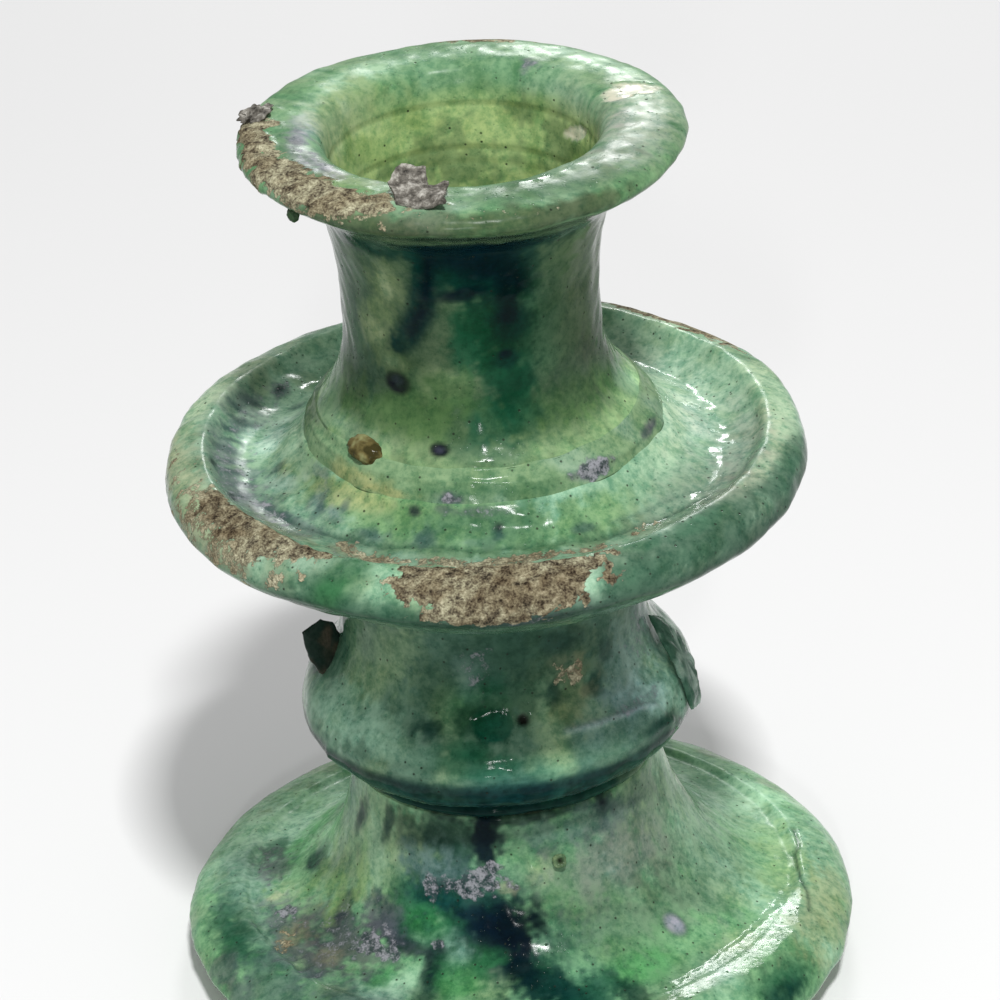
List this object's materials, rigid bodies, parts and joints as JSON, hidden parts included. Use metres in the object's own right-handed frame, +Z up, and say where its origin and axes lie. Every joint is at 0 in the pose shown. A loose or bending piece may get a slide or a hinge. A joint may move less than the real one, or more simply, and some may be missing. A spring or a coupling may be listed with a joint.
{
  "type": "earthenware candlestick",
  "caption": "Rustic wheel-thrown candlestick: wide hollow foot, bell-shaped knop, dished drip pan and a waisted socket with a flared rim, in mottled green glaze.",
  "frame": {"origin": "centre of the ring that the foot rests on, on the standing surface", "axes": "+Z up along the throwing axis, the longest extent; -Y is the side with the crusted rim piece in front"},
  "size_m": [0.1426, 0.1426, 0.1898],
  "materials": {
    "foot_glaze": "glossy mottled copper-green glaze with purple-black pools and radial runs",
    "dark_glaze": "glossy near-black green glaze",
    "knop_glaze": "glossy deep green glaze with grey-olive bloom",
    "pan_glaze": "glossy pale and emerald green glaze, bare sandy clay on the edge",
    "collar_glaze": "glossy yellow-green glaze with dark spots",
    "socket_glaze": "glossy green glaze with blue-black runs, crusted clay on the rim",
    "kiln_crust": "matte, coarse grey-brown clinker",
    "amber_glaze": "glossy brown-amber glass bead",
    "glazed_sherd": "satin dark green glaze over a broken flake"
  },
  "bodies": {
    "root": {"foot": "foot_glaze", "neck_ring": "dark_glaze", "stem_knop": "knop_glaze", "drip_pan": "pan_glaze", "socket_collar": "collar_glaze", "candle_socket": "socket_glaze", "rim_clinker_front": "kiln_crust", "rim_clinker_left": "kiln_crust", "rim_drop": "dark_glaze", "glaze_bead": "amber_glaze", "knop_sherd_left": "glazed_sherd", "knop_sherd_right": "glazed_sherd", "foot_pip": "foot_glaze"}
  },
  "joints": []
}
